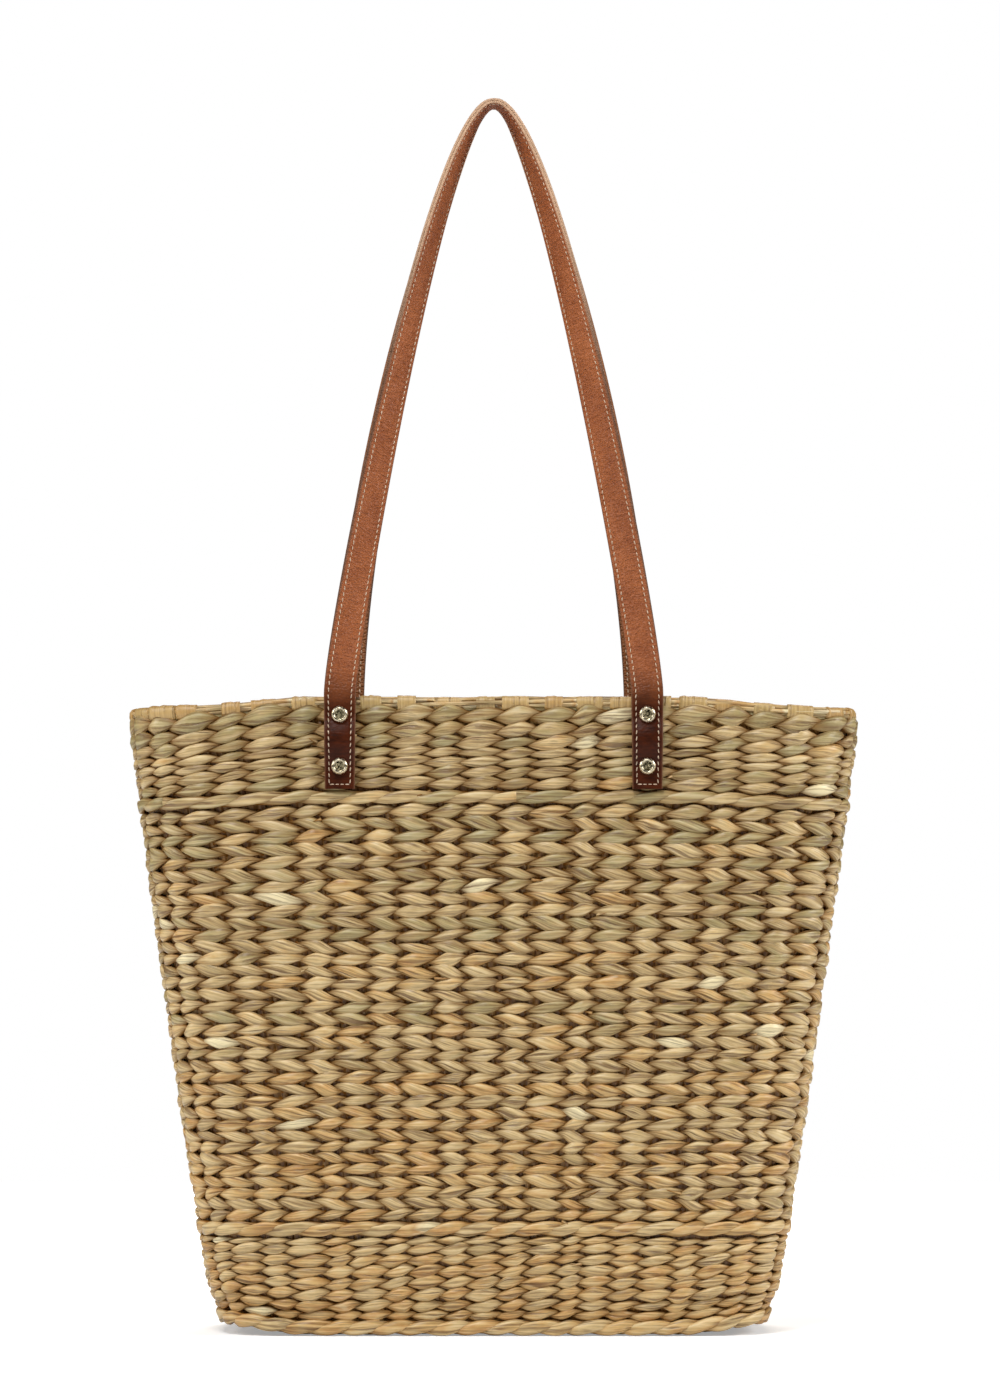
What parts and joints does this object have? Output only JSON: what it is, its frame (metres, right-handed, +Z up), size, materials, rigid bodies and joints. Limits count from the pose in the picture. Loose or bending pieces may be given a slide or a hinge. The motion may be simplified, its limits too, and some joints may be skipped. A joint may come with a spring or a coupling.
{
  "type": "beach bag",
  "caption": "Flared open basket bag of twined straw with rope bands, a bound rim and riveted leather shoulder straps that fold down.",
  "frame": {"origin": "middle of the bag's footprint, on the surface it stands on", "axes": "+Z up, -Y out of the front, +X to the right as seen from the front"},
  "size_m": [0.3934, 0.1628, 0.6721],
  "materials": {
    "twined_straw": "matte",
    "straw_rope": "matte",
    "tan_leather": "satin",
    "lining_leather": "matte",
    "nickel": "satin"
  },
  "bodies": {
    "basket": {"base_mat": "twined_straw", "lower_weave": "twined_straw", "middle_weave": "twined_straw", "upper_weave": "twined_straw", "foot_rope": "straw_rope", "lower_rope_band": "straw_rope", "upper_rope_band": "straw_rope", "rim_cord": "straw_rope", "front_left_tab_face": "tan_leather", "front_left_tab_lining": "lining_leather", "front_left_backing_patch": "lining_leather", "front_left_upper_rivet_cap": "nickel", "front_left_upper_rivet_post": "nickel", "front_left_lower_rivet_cap": "nickel", "front_left_lower_rivet_post": "nickel", "front_right_tab_face": "tan_leather", "front_right_tab_lining": "lining_leather", "front_right_backing_patch": "lining_leather", "front_right_upper_rivet_cap": "nickel", "front_right_upper_rivet_post": "nickel", "front_right_lower_rivet_cap": "nickel", "front_right_lower_rivet_post": "nickel", "back_left_tab_face": "tan_leather", "back_left_tab_lining": "lining_leather", "back_left_backing_patch": "lining_leather", "back_left_upper_rivet_cap": "nickel", "back_left_upper_rivet_post": "nickel", "back_left_lower_rivet_cap": "nickel", "back_left_lower_rivet_post": "nickel", "back_right_tab_face": "tan_leather", "back_right_tab_lining": "lining_leather", "back_right_backing_patch": "lining_leather", "back_right_upper_rivet_cap": "nickel", "back_right_upper_rivet_post": "nickel", "back_right_lower_rivet_cap": "nickel", "back_right_lower_rivet_post": "nickel"},
    "front_handle": {"front_strap_face": "tan_leather", "front_strap_lining": "lining_leather"},
    "back_handle": {"back_strap_face": "tan_leather", "back_strap_lining": "lining_leather"}
  },
  "joints": [
    {"name": "front_handle_fold", "type": "hinge", "parent": "basket", "child": "front_handle", "pos_m": [0, -0.08199, 0.33891], "axis": [1, 0, 0], "range_deg": [0, 180]},
    {"name": "back_handle_fold", "type": "hinge", "parent": "basket", "child": "back_handle", "pos_m": [0, 0.08199, 0.33891], "axis": [-1, 0, 0], "range_deg": [0, 180]}
  ]
}
